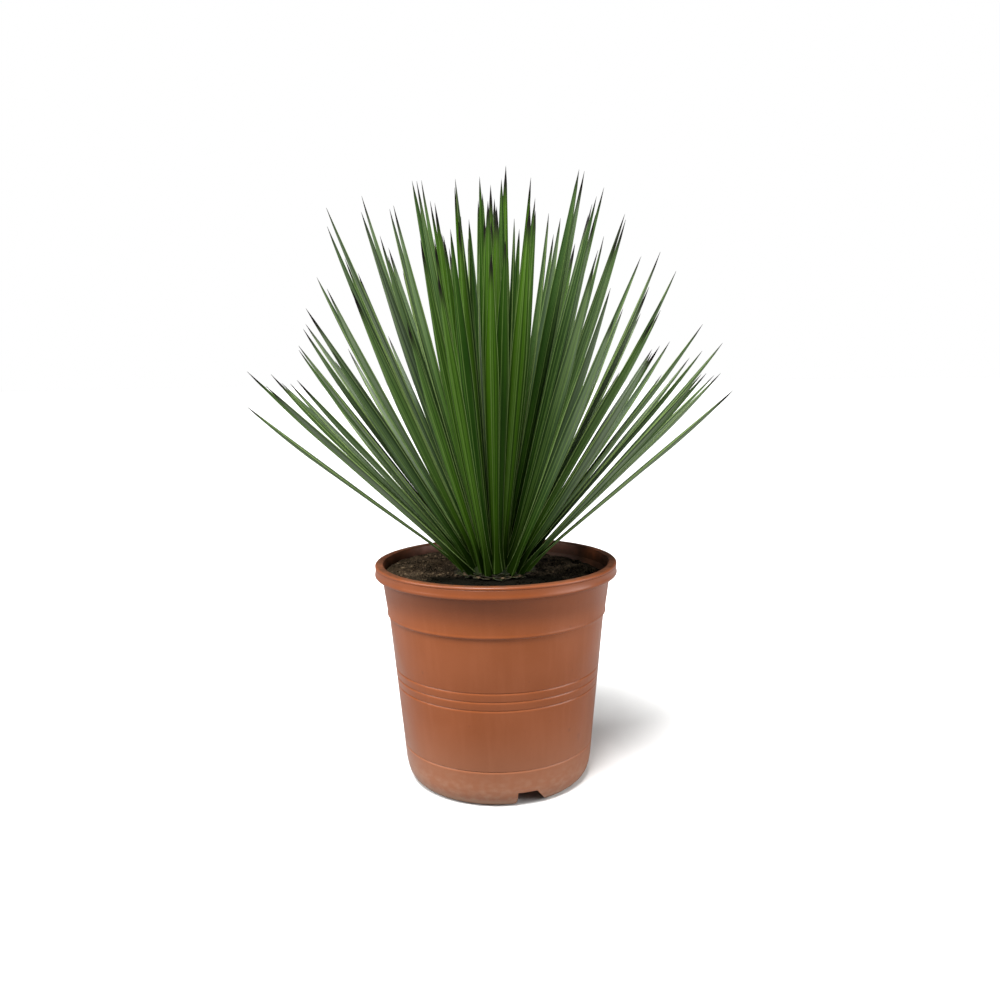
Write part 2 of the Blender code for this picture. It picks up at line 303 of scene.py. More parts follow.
def groupGrain():
    # Fine relief: a bump of two noises, one four times as fine as the other
    group, given, result = newGroup(
        "fineGrain", ["Normal"], Vector=None, Scale=600.0, Strength=0.2, Depth=0.0003
    )
    finer = times(group, given["Scale"], 4.0)
    coarse, fine = (
        addNode(group, "ShaderNodeTexNoise", {"Vector": given["Vector"], "Scale": scale}).outputs["Fac"]
        for scale in (given["Scale"], finer)
    )
    height = calculate(group, "MULTIPLY_ADD", fine, 0.35, coarse)
    values = {"Height": height, "Strength": given["Strength"], "Distance": given["Depth"]}
    feed(group, result["Normal"], addNode(group, "ShaderNodeBump", values).outputs["Normal"])
    return group


def groupSettledDust():
    # Dust that is thickest below a height and breaks up into flecks above it
    group, given, result = newGroup(
        "settledDust", ["Mask"], Vector=None, Full=0.008, Clear=0.040, Scale=90.0
    )
    height = separate(group, given["Vector"])["Z"]
    near = ramp(group, height, given["Full"], given["Clear"], 1.0, 0.0)
    values = {"Vector": given["Vector"], "Scale": given["Scale"], "Detail": 8.0, "Roughness": 0.65}
    noise = addNode(group, "ShaderNodeTexNoise", values)
    lifted = calculate(group, "ADD", noise.outputs["Fac"], calculate(group, "SUBTRACT", near, 0.5))
    feed(group, result["Mask"], times(group, ramp(group, lifted, 0.42, 0.95), near, clamp=True))
    return group


def groupLeafFibre():
    # Fine lines that run along a blade, and broad patches, from the blade's own map. Tone moves both,
    # so that they differ from leaf to leaf
    group, given, result = newGroup(
        "leafFibre", ["Fibre", "Patch"], Map=None, Tone=0.0, Across=26.0, Along=1.4
    )
    split = separate(group, given["Map"])
    fine = ("Fibre", given["Across"], given["Along"], 71.0, 3.0)
    for label, across, along, apart, detail in (fine, ("Patch", 1.5, 5.0, 53.0, 2.0)):
        values = {"X": times(group, split["X"], across), "Y": times(group, split["Y"], along)}
        values["Z"] = times(group, given["Tone"], apart)
        vector = addNode(group, "ShaderNodeCombineXYZ", values).outputs["Vector"]
        values = {"Vector": vector, "Scale": 1.0, "Detail": detail}
        feed(group, result[label], addNode(group, "ShaderNodeTexNoise", values).outputs["Fac"])
    return group


mottle = groupMottle()
fineGrain = groupGrain()
settledDust = groupSettledDust()
leafFibre = groupLeafFibre()


def useGroup(tree, group, **values):
    return addNode(tree, "ShaderNodeGroup", values, node_tree=group).outputs


def patches(tree, place, scale, detail, low=0.35, high=0.65):
    values = {"Vector": place, "Scale": scale, "Detail": detail, "Low": low, "High": high}
    return useGroup(tree, mottle, **values)["Mask"]


def grainRelief(tree, place, scale, strength, depth):
    return useGroup(tree, fineGrain, Vector=place, Scale=scale, Strength=strength, Depth=depth)["Normal"]


# Finishes. A pair that ends in Fade holds the two ends of a gradual change

terracottaFinish = {
    "colour": (0.212, 0.053, 0.0115),
    "paler": (0.31, 0.098, 0.040),
    "darker": (0.15, 0.040, 0.014),
    "dust": (0.38, 0.235, 0.160),
    "stainAndShade": (0.050, 0.022, 0.010),
    "collarShadeFade": (0.174, 0.190),  # painted shade over the upper collar and the lip
    "smearFade": (0.010, 0.042),
    "hazeFade": (0.0, 0.090),
    "dustTop": 0.018,
    "insideFade": (0.1113, 0.1119),
    "soilFade": (0.1985, 0.2005),
    "stainFade": (0.2040, 0.2150),
    "stainShares": (0.78, 0.08),
    "rimTopShadeFade": (0.1174, 0.1197),
    "rimTopFade": (0.2160, 0.2172),
    "rimTopShadeShare": 0.72,
    "roughness": (0.30, 0.44),
    "specular": 0.30,
    "grain": (700.0, 0.22, 0.0002),
}


def makeTerracotta():
    material, tree = newMaterial("terracottaPlastic")
    finish = terracottaFinish
    place = coordinates(tree, "Object")
    split = separate(tree, place)
    height = split["Z"]
    broad = patches(tree, place, 14.0, 3.0, 0.3, 0.7)
    streaks = patches(tree, stretch(tree, place, (1.0, 1.0, 0.06)), 150.0, 3.0, 0.45, 0.75)
    marks = patches(tree, place, 95.0, 1.0, 0.72, 0.78)
    # painted shade: from the lower collar up, over the lip and the rim, the wall is a shade darker
    collarShade = ramp(tree, height, *finish["collarShadeFade"])
    flecks = patches(tree, place, 1500.0, 2.0, 0.35, 0.7)
    # dried soil and lime round the foot
    smears = patches(tree, stretch(tree, place, (1.0, 1.0, 1.7)), 120.0, 8.0, 0.35, 0.75)
    smears = times(tree, smears, ramp(tree, height, *finish["smearFade"], 1.0, 0.0))
    haze = ramp(tree, height, *finish["hazeFade"], 1.0, 0.0)
    dust = useGroup(tree, settledDust, Vector=place, Full=0.001, Clear=finish["dustTop"], Scale=520.0)["Mask"]
    # the wall above the soil is stained by watering, most of all close to the soil
    plan = addNode(tree, "ShaderNodeCombineXYZ", {"X": split["X"], "Y": split["Y"]})
    fromAxis = addNode(tree, "ShaderNodeVectorMath", operation="LENGTH")
    feed(tree, fromAxis.inputs[0], plan.outputs["Vector"])
    radius = fromAxis.outputs["Value"]
    inside = ramp(tree, radius, *finish["insideFade"], 1.0, 0.0)
    inside = times(tree, inside, ramp(tree, height, *finish["soilFade"]))
    patchy = patches(tree, place, 110.0, 6.0, 0.30, 0.70)
    level = calculate(tree, "MULTIPLY_ADD", patchy, -0.006, height)
    stainAndRimShade = times(tree, ramp(tree, level, *finish["stainFade"], *finish["stainShares"]), inside)
    # painted shade on the inner half of the rim's top
    rimTopShade = ramp(tree, radius, *finish["rimTopShadeFade"], finish["rimTopShadeShare"], 0.0)
    rimTopShade = times(tree, rimTopShade, ramp(tree, height, *finish["rimTopFade"]))
    rimTopShade = times(tree, rimTopShade, ramp(tree, patchy, 0.0, 1.0, 0.55, 1.0))
    # from here the mask holds the marks left by watering and the painted shade on the rim's top
    stainAndRimShade = calculate(tree, "MAXIMUM", stainAndRimShade, rimTopShade)
    colour = layered(
        tree, finish, "colour",
        (broad, "paler", 0.28),
        (streaks, "paler", 0.14),  # left by the mould, down the wall
        (marks, "darker", 0.40),  # few and small, as on a pot that has been handled
        # painted shade over the collar and the lip
        (collarShade, "darker", 0.50),
        (flecks, "paler", 0.08),
        (smears, "dust", 0.34),
        (haze, "dust", 0.26),
        (dust, "dust", 0.60),
        # marks left by watering, and painted shade on the rim's top
        (stainAndRimShade, "stainAndShade"),
    )
    rough = ramp(tree, broad, 0.0, 1.0, *finish["roughness"])
    rough = calculate(tree, "MULTIPLY_ADD", dust, 0.3, rough, clamp=True)
    rough = calculate(tree, "MULTIPLY_ADD", stainAndRimShade, 0.4, rough, clamp=True)
    relief = grainRelief(tree, place, *finish["grain"])
    return dress(material, colour, rough, finish["specular"], Normal=relief)


soilFinish = {
    "colour": (0.050, 0.0370, 0.0240),
    "damp": (0.0075, 0.0054, 0.0036),
    "wetAndShadow": (0.0045, 0.0040, 0.0020),
    "paleSide": (0.060, 0.039, 0.022),
    "fibre": (0.170, 0.122, 0.074),
    "paleSideFade": (0.010, -0.075),  # to the left
    "wetShadowFade": (-0.008, -0.026),  # to the front: damp soil and painted shadow of the front wall
    "wetShadowLeftFade": (-0.095, -0.050),
    "roughness": 0.95,
    "specular": 0.06,
    "grain": (520.0, 0.9, 0.0012),
}


def makeSoil(name, fibreShare, toneLabel=None):
    material, tree = newMaterial(name)
    finish = soilFinish
    place = coordinates(tree, "Object")
    split = separate(tree, place)
    damp = patches(tree, place, 60.0, 5.0, 0.35, 0.62)
    # the higher side of the bed is paler, and the front is darker: damp soil and painted shadow of the front
    # wall
    side = ramp(tree, split["X"], *finish["paleSideFade"])
    patch = patches(tree, place, 75.0, 5.0, 0.30, 0.70)
    paleSide = times(tree, side, ramp(tree, patch, 0.0, 1.0, 0.35, 1.0))
    crumb = patches(tree, place, 650.0, 3.0, 0.55, 0.70)
    fibre = times(tree, crumb, ramp(tree, side, 0.0, 1.0, 0.45 * fibreShare, fibreShare))
    layers = [(damp, "damp"), (paleSide, "paleSide", 0.75), (fibre, "fibre")]
    if toneLabel:
        pale = ramp(tree, readTone(tree, toneLabel), 0.6, 1.0)
        layers.append((times(tree, pale, ramp(tree, side, 0.0, 1.0, 0.40, 0.90)), "fibre"))
    # painted shadow of the front wall, with damp soil, across the front of the bed but not at its left end
    front = ramp(tree, split["Y"], *finish["wetShadowFade"])
    front = times(tree, front, ramp(tree, split["X"], *finish["wetShadowLeftFade"]))
    colour = layered(tree, finish, "colour", *layers, (front, "wetAndShadow"))
    relief = grainRelief(tree, place, *finish["grain"])
    return dress(material, colour, finish["roughness"], finish["specular"], Normal=relief)


barkFinish = {
    "dark": (0.055, 0.032, 0.016),
    "pale": (0.19, 0.125, 0.065),
    "grain": (260.0, 0.9, 0.001),
}


def makeBark():
    material, tree = newMaterial("woodyStem")
    ringed = stretch(tree, coordinates(tree, "Object"), (1.0, 1.0, 5.0))  # leaf scars go round the stem
    colour = layered(tree, barkFinish, "dark", (patches(tree, ringed, 90.0, 6.0), "pale"))
    return dress(material, colour, 0.85, Normal=grainRelief(tree, ringed, *barkFinish["grain"]))


dryFinish = {
    "tan": (0.085, 0.080, 0.024),
    "brown": (0.014, 0.011, 0.004),
    "green": (0.034, 0.056, 0.008),
}


def makeDryBase():
    material, tree = newMaterial("dryLeafBase")
    uv = coordinates(tree, "UV")
    tone = readTone(tree, "dryTone")
    fibre = useGroup(tree, leafFibre, Map=uv, Tone=tone, Across=14.0, Along=1.2)["Fibre"]
    lines = ramp(tree, fibre, 0.38, 0.62)
    living = ramp(tree, tone, 0.30, 0.75)
    ends = ramp(tree, separate(tree, uv)["Y"], 0.55, 1.0)
    colour = layered(tree, dryFinish, "brown", (lines, "tan"), (living, "green", 0.85), (ends, "brown", 0.85))
    return dress(material, colour, 0.8, Normal=lineRelief(tree, fibre, 0.6))


leafFinish = {
    "deep": (0.014, 0.056, 0.0008),
    "fresh": (0.050, 0.128, 0.0040),
    "glaucousAndSheen": (0.150, 0.192, 0.122),
    "line": (0.170, 0.270, 0.070),
    "shade": (0.005, 0.018, 0.0008),
    "base": (0.016, 0.040, 0.0015),
    "margin": (0.190, 0.280, 0.090),
    "marginShade": (0.10, 0.15, 0.040),
    "needle": (0.010, 0.0085, 0.0065),
    "needleFade": (0.920, 1.005),
    "needleSpread": 0.050,
    "lines": (13.0, 0.7),
    "sideSheenFade": (0.025, 0.100),
}


def needleMask(tree, along, tone):
    # The leaf darkens towards its point, on every leaf from a slightly different place
    shifted = calculate(tree, "MULTIPLY_ADD", tone, leafFinish["needleSpread"], along)
    return calculate(tree, "POWER", ramp(tree, shifted, *leafFinish["needleFade"]), 1.3)


def makeLeaf(name, bloomAndSheen, roughness, specular):
    # the second argument is how strongly the pale coat shows on this side of the blade: partly the real wax
    # of the leaf, partly painted sheen
    material, tree = newMaterial(name)
    finish = leafFinish
    uv = coordinates(tree, "UV")
    tone = readTone(tree, "leafTone")
    split = separate(tree, uv)
    along = split["Y"]
    across, lengthwise = finish["lines"]
    fibres = useGroup(tree, leafFibre, Map=uv, Tone=tone, Across=across, Along=lengthwise)
    fibre, patch = fibres["Fibre"], fibres["Patch"]
    lively = calculate(tree, "MULTIPLY_ADD", patch, 0.5, times(tree, tone, 0.7), clamp=True)
    # a second draw per leaf: how much of the wax is still on it
    coat = calculate(tree, "FRACT", times(tree, tone, 7.31))
    # painted sheen: the pale coat lies on the leaves out to the left and right, and hardly on those in the
    # middle
    sideways = calculate(tree, "ABSOLUTE", separate(tree, coordinates(tree, "Object"))["X"])
    waxAndSheen = times(tree, ramp(tree, sideways, *finish["sideSheenFade"], 0.03, 1.0), bloomAndSheen)
    waxAndSheen = times(tree, waxAndSheen, ramp(tree, patch, 0.25, 0.65, 0.65, 1.0))
    waxAndSheen = times(tree, waxAndSheen, ramp(tree, coat, 0.1, 0.9, 0.45, 1.3), clamp=True)
    side = calculate(tree, "ABSOLUTE", calculate(tree, "SUBTRACT", split["X"], 0.5))
    colour = layered(
        tree, finish, "deep",
        (ramp(tree, lively, 0.2, 0.9), "fresh"),
        # real wax and painted sheen
        (waxAndSheen, "glaucousAndSheen"),
        (ramp(tree, fibre, 0.56, 0.68), "line", 0.42),  # pale lines between darker veins
        (ramp(tree, fibre, 0.48, 0.32), "shade", 0.65),
        # painted shade: the blade darkens towards its base, deep in the rosette
        (ramp(tree, along, 0.03, 0.20, 1.0, 0.0), "base", 0.80),
        # painted shade towards both edges of each blade
        (ramp(tree, side, 0.26, 0.42), "shade", 0.55),
        (ramp(tree, side, 0.445, 0.480), "margin", 0.75),  # the edge, thin and pale
        (ramp(tree, side, 0.018, 0.045, 1.0, 0.0), "line", 0.55),  # the midrib
        (needleMask(tree, along, tone), "needle"),
    )
    rough = ramp(tree, fibre, 0.3, 0.7, *roughness)
    return dress(material, colour, rough, specular, Normal=lineRelief(tree, fibre, 0.35))


def makeLeafMargin():
    material, tree = newMaterial("leafMargin")
    uv = coordinates(tree, "UV")
    tone = readTone(tree, "leafTone")
    fibre = useGroup(tree, leafFibre, Map=uv, Tone=tone, Across=3.0, Along=30.0)["Fibre"]
    needle = needleMask(tree, separate(tree, uv)["Y"], tone)
    colour = layered(tree, leafFinish, "margin", (fibre, "marginShade"), (needle, "needle"))
    return dress(material, colour, 0.6, 0.15)


crownFinish = {
    "dark": (0.002, 0.006, 0.001),
    "green": (0.016, 0.027, 0.004),
    "grain": (300.0, 0.8, 0.001),
}


def makeCrown():
    material, tree = newMaterial("crownBases")
    upright = stretch(tree, coordinates(tree, "Object"), (1.0, 1.0, 0.18))
    # painted shade: the packed bases are near black, with green patches, for the shade deep among the leaf
    # bases
    colour = layered(tree, crownFinish, "dark", (patches(tree, upright, 260.0, 3.0), "green"))
    return dress(material, colour, 0.8, 0.2, Normal=grainRelief(tree, upright, *crownFinish["grain"]))


terracottaPlastic = makeTerracotta()
pottingSoil = makeSoil("pottingSoil", 0.55)
soilCrumb = makeSoil("soilCrumb", 0.35, "crumbTone")
woodyStem = makeBark()
dryLeafBase = makeDryBase()
leafUpper = makeLeaf("leafUpper", 0.92, (0.34, 0.48), 0.42)
leafLower = makeLeaf("leafLower", 0.82, (0.42, 0.56), 0.05)
leafMargin = makeLeafMargin()
crownBases = makeCrown()
print("finishes ready")


# The nursery pot. A place on its wall is (radius, height)

potShape = {
    "sides": 168,
    "wall": 0.0024,
    "rimRadius": 0.1200,
    "rimInner": 0.1116,
    "height": 0.218,
    "bandTop": (0.1130, 0.2050),
    "shoulder": (0.1084, 0.1700),
    "bodyTop": (0.1071, 0.1672),
    "bodyLow": (0.0953, 0.0380),
    "heelTop": ((0.0925, 0.0130), (0.0938, 0.0200)),
    "heel": (0.0910, 0.0080),
    "heelRound": ((0.0858, 0.0014), (0.0886, 0.0042)),
    "foot": 0.0830,
    "footWidth": 0.0035,
    "floorTop": 0.0185,
    "floorEdge": (0.0915, 0.0225),
    "floorThickness": 0.0024,
    "grooves": (0.0370, 0.0981, 0.1066, 0.1151),
    "notches": 3,
    "notchStart": 10.3,
    "notchTopWidth": 0.0185,
    "notchFootWidth": 0.0312,
    "notchHeight": 0.0148,
    "notchBelow": 0.002,
    "notchReach": 0.030,
    "notchRadius": 0.085,
    "drainHoles": 8,
    "drainRing": 0.058,
    "drainRadius": 0.005,
    "drainSides": 24,
    "drainDepth": 0.010,
    "smoothAngle": 32,
}
potSteps = {  # fine points of the profile, as (out, up) from a place on it
    "foot": ((-0.0004, 0.0), (0.0006, 0.0004)),
    "groove": (  # a sharp upper edge and a slower lower one that faces a little upwards
        (-0.00020, -0.0021), (-0.00003, -0.00119), (-0.00033, -0.00035), (-0.0006, 0.00007),
        (-0.0006, 0.00035), (-0.00004, 0.000665), (0.00010, 0.00112),
    ),
    # the band ends in a small rounded bead that stands over the body
    "bodyTop": ((-0.0002, -0.0020), (-0.0001, -0.0006), (0.0002, 0.0002)),
    "shoulder": ((0.0001, -0.0020), (0.0005, -0.0013), (0.0006, -0.0005), (0.0004, 0.0004), (0.0002, 0.0014)),
    "bandTop": ((0.0, -0.0006), (0.0004, 0.0002)),
    "rim": (  # the lip stands out square: a low bead, a flat face, a fine groove and the top bead
        (-0.0022, -0.0123), (-0.0010, -0.0119), (-0.0002, -0.0111), (0.0, -0.0102), (-0.0001, -0.0093),
        (-0.0003, -0.0085), (-0.0006, -0.0075), (-0.0006, -0.0033), (-0.0009, -0.0030), (-0.0009, -0.0027),
        (-0.0004, -0.0024), (-0.0003, -0.0016), (-0.0006, -0.0009), (-0.0012, -0.0003), (-0.0022, 0.0),
    ),
    "rimInner": ((0.0016, 0.0), (0.0004, -0.0005), (0.0, -0.0016), (-0.0002, -0.0120)),
}


def wallRadius(height):
    lowRadius, lowHeight = potShape["bodyLow"]
    topRadius, topHeight = potShape["bodyTop"]
    return lowRadius + (height - lowHeight) / (topHeight - lowHeight) * (topRadius - lowRadius)


def stepsFrom(place, label):
    return [(place[0] + out, place[1] + up) for out, up in potSteps[label]]


def insideWall(labels, inset):
    return [(potShape[label][0] - inset, potShape[label][1]) for label in labels]


def potProfile():
    # From the middle of the underside out to the foot, up the outside, over the rim and down inside
    shape = potShape
    wall, foot, top, floorTop = shape["wall"], shape["foot"], shape["height"], shape["floorTop"]
    under = floorTop - shape["floorThickness"]
    heelInside = shape["heel"][0] - wall
    points = [(0.001, under), (0.040, under), (heelInside, under), (heelInside - 0.0014, shape["heel"][1])]
    points += [(foot - shape["footWidth"], 0.0), *stepsFrom((foot, 0.0), "foot")]
    points += [*shape["heelRound"], shape["heel"], *shape["heelTop"]]
    for height in shape["grooves"]:
        points += stepsFrom((wallRadius(height), height), "groove")
    for label in ("bodyTop", "shoulder", "bandTop"):
        points += stepsFrom(shape[label], label)
    points += stepsFrom((shape["rimRadius"], top), "rim") + stepsFrom((shape["rimInner"], top), "rimInner")
    points += insideWall(("bandTop", "shoulder", "bodyTop", "bodyLow"), wall)
    return points + [shape["floorEdge"], (shape["floorEdge"][0] - 0.003, floorTop), (0.001, floorTop)]


def notchCutter(index):
    # A block whose right side is drawn out below to a slope, turned round the foot to its place
    shape = potShape
    topWidth, footWidth = shape["notchTopWidth"], shape["notchFootWidth"]
    height, below = shape["notchHeight"], shape["notchBelow"]
    footArc = math.degrees(footWidth / shape["foot"])
    turn = math.radians(shape["notchStart"] + footArc / 2 + index * 360.0 / shape["notches"])
    middle = ((topWidth - footWidth) / 2, -shape["notchRadius"], (height - below) / 2)
    size = (topWidth, shape["notchReach"], height + below)
    clearSelection()
    bpy.ops.mesh.primitive_cube_add(size=1.0, location=middle, scale=size)
    cutter = named(f"notchCutter_{index}")
    startEdit(cutter)
    pick(cutter, lambda v: v.co.x > middle[0] and v.co.z < 0.0)
    slope = (footWidth - topWidth) / height
    bpy.ops.transform.translate(value=(slope * (height + below), 0.0, 0.0))
    bpy.ops.mesh.select_all(action="SELECT")
    bpy.ops.transform.rotate(value=-turn, orient_axis="Z", center_override=(0.0, 0.0, 0.0))
    endEdit()
    return cutter


def drainCutter(index):
    # The first one stands in the middle
    shape = potShape
    turn = index * math.tau / shape["drainHoles"]
    ring = shape["drainRing"] if index else 0.0
    spot = (math.cos(turn) * ring, math.sin(turn) * ring, shape["floorTop"])
    size = {"vertices": shape["drainSides"], "radius": shape["drainRadius"], "depth": shape["drainDepth"]}
    clearSelection()
    bpy.ops.mesh.primitive_cylinder_add(location=spot, **size)
    return named(f"drainCutter_{index}")


def buildPot():
    pot = lathe("nurseryPot", potProfile(), potShape["sides"])
    cutters = [notchCutter(index) for index in range(potShape["notches"])]
    cutters += [drainCutter(index) for index in range(potShape["drainHoles"] + 1)]
    tools = bpy.data.collections.new("potCutters")
    bpy.context.scene.collection.children.link(tools)
    for cutter in cutters:
        bpy.context.scene.collection.objects.unlink(cutter)
        tools.objects.link(cutter)
    cut = pot.modifiers.new("notches", "BOOLEAN")
    adjust(cut, operation="DIFFERENCE", operand_type="COLLECTION", collection=tools, solver="EXACT")
    applyModifiers(pot)
    for cutter in cutters:
        removeSource(cutter)
    bpy.data.collections.remove(tools)
    smoothBy(pot, potShape["smoothAngle"])
    giveMaterials(pot, terracottaPlastic)
    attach(pot, "root")
    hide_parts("pot")
    return pot


nurseryPot = buildPot()
print("pot built:", len(nurseryPot.data.polygons), "faces")


# Potting soil: one bed that fills the pot, and loose crumbs and fibres lying on it

soilShape = {
    "sides": 200,
    "rings": 58,
    "level": 0.2045,
    "levelRadius": 0.040,
    "tilt": 0.0045,
    "bump": 0.0006,
    "ruffles": {"lumps": (0.011, 0.0044), "crumbly": (0.0032, 0.0018)},  # size and height
    "lumpFade": (0.012, 0.003),  # round the dry bases and against the wall
    "wallGap": 0.0005,
    "edgeGap": 0.0012,
    "stemGap": 0.0006,
    "stemRadius": 0.022,
    "stemSwell": 1.06,
    "stemFoot": 0.150,
    "swellHeight": 0.034,
    "crumbCount": 2300,
    "crumbKinds": 5,
    "crumbSize": (0.00050, 0.0016),  # the smallest, and how much more the largest may be
    "crumbsFrom": 0.0385,
    "crumbsEdge": 0.0022,
    "fibreCount": 190,
    "fibreSize": (0.00016, 0.00030),
    "seed": 41,
}


def soilHeight(x, y):
    # Level round the stem. Further out it is bumpy and lies higher on the left than on the right
    shape = soilShape
    reach = (math.hypot(x, y) - shape["levelRadius"]) / (potShape["rimInner"] - shape["levelRadius"])
    fade = smoothStep(reach / 0.6)
    tilt = shape["tilt"] * (0.3 * y - 0.95 * x) / potShape["rimInner"]
    bumps = math.sin(210 * x + 1.3) * math.cos(190 * y - 0.4)
    bumps += 0.6 * math.sin(330 * x - 240 * y + 0.7)
    return shape["level"] + (tilt + shape["bump"] * bumps) * fade


def soilEdge():
    (lowRadius, lowHeight), (topRadius, topHeight) = potShape["bodyTop"], potShape["bandTop"]
    share = (soilShape["level"] - lowHeight) / (topHeight - lowHeight)
    return lowRadius + share * (topRadius - lowRadius) - potShape["wall"] - soilShape["edgeGap"]


def soilProfile():
    # From the foot of the stem's hole up, out over the top, down the wall and in over the floor
    shape = soilShape
    gap, foot, rings = shape["stemGap"], shape["stemFoot"], shape["rings"]
    hole, edge = shape["stemRadius"] + gap, soilEdge()
    swell = shape["stemSwell"] * shape["stemRadius"] + gap
    points = [(0.001, foot - gap), (swell, foot - gap), (swell, foot + shape["swellHeight"])]
    points += [(hole + (edge - hole) * step / rings, shape["level"]) for step in range(rings + 1)]
    points += insideWall(("shoulder", "bodyTop", "bodyLow"), potShape["wall"] + shape["wallGap"])
    cornerRadius, cornerHeight = potShape["floorEdge"]
    bottom = potShape["floorTop"] + shape["wallGap"]
    points += [(cornerRadius - 0.0008, cornerHeight + shape["wallGap"])]
    return points + [(cornerRadius - 0.0036, bottom), (0.001, bottom)]


def ruffle(obj, name):
    size, height = soilShape["ruffles"][name]
    texture = adjust(bpy.data.textures.new(name, "CLOUDS"), noise_scale=size, noise_depth=3)
    displace = obj.modifiers.new(name, "DISPLACE")
    adjust(displace, texture=texture, texture_coords="LOCAL", direction="Z", strength=height, mid_level=0.5)
    displace.vertex_group = "top"


def buildSoil():
    shape = soilShape
    soil = lathe("soilBed", soilProfile(), shape["sides"])
    edge = soilEdge()
    innerFade, outerFade = shape["lumpFade"]
    top = soil.vertex_groups.new(name="top")
    for vertex in soil.data.vertices:
        radius = vertex.co.xy.length
        if abs(vertex.co.z - shape["level"]) < 1e-5:
            vertex.co.z = soilHeight(vertex.co.x, vertex.co.y)
            inside = smoothStep((radius - shape["levelRadius"]) / innerFade)
            outside = smoothStep((edge - radius) / outerFade)
            top.add([vertex.index], max(0.0, min(inside, 0.25 + 0.75 * outside)), "REPLACE")
    for name in shape["ruffles"]:
        ruffle(soil, name)
    applyModifiers(soil)
    smoothBy(soil, 60)
    giveMaterials(soil, pottingSoil)
    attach(soil, "root")
    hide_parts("soil")
    return soil


def crumbSource(index, draw):
    # A rough grain: an icosphere with every corner pushed a little
    clearSelection()
    bpy.ops.mesh.primitive_ico_sphere_add(subdivisions=1, radius=1.0)
    crumb = named(f"crumb_{index}")
    for vertex in crumb.data.vertices:
        vertex.co *= draw.uniform(0.62, 1.12)
    giveMaterials(crumb, soilCrumb)
    return crumb


def fibreSource():
    # A short bent root hair: a four-sided cylinder, cut across and bowed
    clearSelection()
    bpy.ops.mesh.primitive_cylinder_add(vertices=4, radius=1.0, depth=16.0, rotation=(math.pi / 2, 0.0, 0.0))
    fibre = named("fibre")
    startEdit(fibre)
    for cut in (-4.0, 0.0, 4.0):
        bpy.ops.mesh.select_all(action="SELECT")
        bpy.ops.mesh.bisect(plane_co=(0.0, cut, 0.0), plane_no=(0.0, 1.0, 0.0))
    endEdit()
    for vertex in fibre.data.vertices:
        vertex.co.x += 2.4 * math.cos(vertex.co.y * 0.19)
        vertex.co.z *= 0.6
    giveMaterials(fibre, soilCrumb)
    return fibre


def soilTopFinder(soil):
    # The height of the ruffled bed under any spot, from its own mesh
    tree = BVHTree.FromPolygons([v.co for v in soil.data.vertices], [p.vertices for p in soil.data.polygons])

    def height(x, y):
        hit = tree.ray_cast(Vector((x, y, 0.25)), Vector((0, 0, -1)))
        return hit[0].z if hit[0] else soilHeight(x, y)

    return height


def buildCrumbs(soil):
    shape = soilShape
    draw = random.Random(shape["seed"])
    heightAt = soilTopFinder(soil)
    kinds, (smallest, more) = shape["crumbKinds"], shape["crumbSize"]
    sources = [crumbSource(index, draw) for index in range(kinds)] + [fibreSource()]
    inner, outer = shape["crumbsFrom"], soilEdge() - shape["crumbsEdge"]
    places, tones = [], []
    for index in range(shape["crumbCount"] + shape["fibreCount"]):
        isFibre = index >= shape["crumbCount"]
        radius = math.sqrt(draw.uniform(inner**2, outer**2))
        turn = draw.uniform(0.0, math.tau)
        x, y = radius * math.cos(turn), radius * math.sin(turn)
        if isFibre:
            size = Vector((1.0, draw.uniform(0.7, 1.3), 1.0)) * draw.uniform(*shape["fibreSize"])
            lift = size.z * 0.8
        else:
            grain = smallest + more * draw.random() ** 3.0
            size = Vector((draw.uniform(0.8, 1.4), draw.uniform(0.8, 1.2), draw.uniform(0.5, 0.9))) * grain
            lift = size.z * 0.45
        spin = Matrix.Rotation(draw.uniform(0.0, math.tau), 4, "Z")
        lean = Matrix.Rotation(math.radians(draw.uniform(-10.0, 10.0)), 4, "X")
        place = Matrix.Translation((x, y, heightAt(x, y) + lift)) @ spin @ lean
        which = kinds if isFibre else draw.randrange(kinds)
        places.append((which, place @ Matrix.Diagonal((*size, 1.0))))
        tones.append(draw.uniform(0.7, 1.0) if isFibre else draw.random())
    crumbs, counts = scatterCopies("soilCrumbs", sources, places)
    paintTone(crumbs, counts, tones, "crumbTone")
    for source in sources:
        removeSource(source)
    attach(crumbs, "root")
    return crumbs


soilBed = buildSoil()
soilCrumbs = buildCrumbs(soilBed)
print("soil built:", len(soilBed.data.polygons), "and", len(soilCrumbs.data.polygons), "faces")


# The stem keeps its solid and gets bark

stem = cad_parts["stem"]
for stemSlot in stem.material_slots:
    stemSlot.material = woodyStem
print("stem finished")


# Dry bases of old leaves, worn short, in a low collar on top of the soil

dryShape = {
    "collarBottom": 0.2048,
    "collarTop": 0.2072,
    "collarInner": 0.0226,
    "collarRadius": 0.0350,
    "collarSides": 64,
    "seed": 8,
    "count": 24,
    "rows": 3,
    "length": 0.0125,
    "width": 0.0095,
    "thickness": 0.0006,
    "cup": ((-0.25, 0.0720), (0.0, 0.0992), (0.25, 0.0640)),  # how far each column sinks
    "turnSpread": 0.3,
    "rise": (1.0, 12.0),
    "rowRise": 9.0,
    "rollSpread": 14.0,
    "lengthShares": (0.70, 1.0),
    "widthShares": (0.7, 1.05),
}


def gridStrip(name, columns, rows):
    # One long and one wide, from the origin along Y
    clearSelection()
    bpy.ops.mesh.primitive_grid_add(
        x_subdivisions=columns, y_subdivisions=rows, size=1.0, location=(0.0, 0.5, 0.0)
    )
    return named(name)


